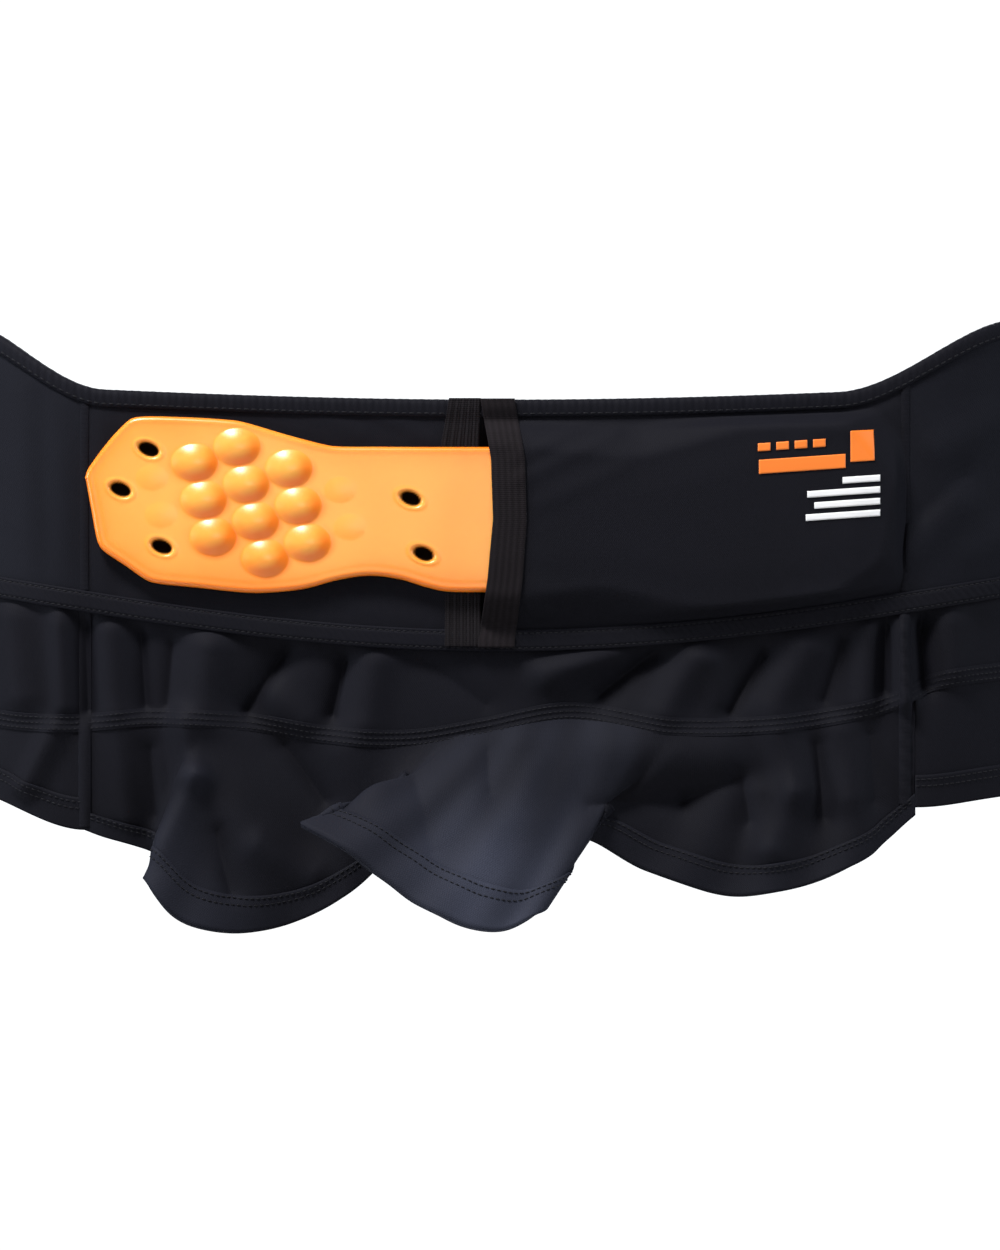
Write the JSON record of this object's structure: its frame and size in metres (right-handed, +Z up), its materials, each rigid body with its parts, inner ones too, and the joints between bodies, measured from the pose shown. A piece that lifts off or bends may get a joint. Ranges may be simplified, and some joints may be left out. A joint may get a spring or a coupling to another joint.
{
  "type": "padded impact shorts",
  "caption": "Short stretch-knit impact trunks turned inside out, with a double-layer pocketed waistband and one long removable moulded dog-bone pad.",
  "frame": {"origin": "middle of the back waistband's top edge, on the near side of the open waist", "axes": "+X to the viewer's right along the back waistband, +Y from the back through the waist to the front, +Z up"},
  "size_m": [0.4494, 0.1363, 0.2466],
  "materials": {
    "knit": "matt stretch knit with a soft sheen",
    "trim": "ribbed elastic tape and coverstitched binding",
    "elastic": "woven elastic inside the binding",
    "print": "thin heat-transfer print",
    "pad": "soft moulded viscoelastic, satin gloss"
  },
  "bodies": {
    "shorts": {"back_hem": "knit", "back_left_band_seam": "trim", "back_left_seam": "trim", "back_panel": "knit", "back_right_band_seam": "trim", "back_right_seam": "trim", "back_top_binding": "trim", "back_waist_seam": "trim", "back_waistband_shell": "knit", "back_yoke": "knit", "back_yoke_seam": "trim", "front_facing": "knit", "front_hem": "knit", "front_left_band_seam": "trim", "front_left_seam": "trim", "front_panel": "knit", "front_right_band_seam": "trim", "front_right_seam": "trim", "front_top_binding": "trim", "front_waist_seam": "trim", "front_waistband_shell": "knit", "front_yoke": "knit", "front_yoke_seam": "trim", "gusset": "knit", "left_facing": "knit", "left_hem": "knit", "left_panel": "knit", "left_pocket_edge_tape": "trim", "left_pocket_panel": "knit", "left_top_binding": "trim", "left_waist_seam": "trim", "left_waistband_shell": "knit", "left_yoke": "knit", "left_yoke_seam": "trim", "right_facing": "knit", "right_hem": "knit", "right_panel": "knit", "right_pocket_binding": "trim", "right_pocket_panel": "knit", "right_top_binding": "trim", "right_waist_seam": "trim", "right_waistband_shell": "knit", "right_yoke": "knit", "right_yoke_seam": "trim", "size_transfer": "print", "waist_elastic": "elastic"},
    "pad_inserted": {"pad_inserted_half": "pad"},
    "pad_free": {"pad_free_half": "pad"}
  },
  "joints": [
    {"name": "pad_slide", "type": "slide", "parent": "shorts", "child": "pad_inserted", "axis": [1, 0, 0], "range_m": [-0.17, 0]},
    {"name": "pad_flex", "type": "hinge", "parent": "pad_inserted", "child": "pad_free", "pos_m": [-0.009, -0.0066, 0], "axis": [0, 0, 1], "range_deg": [0, 90], "stiffness_Nm_per_rad": 0.05}
  ]
}
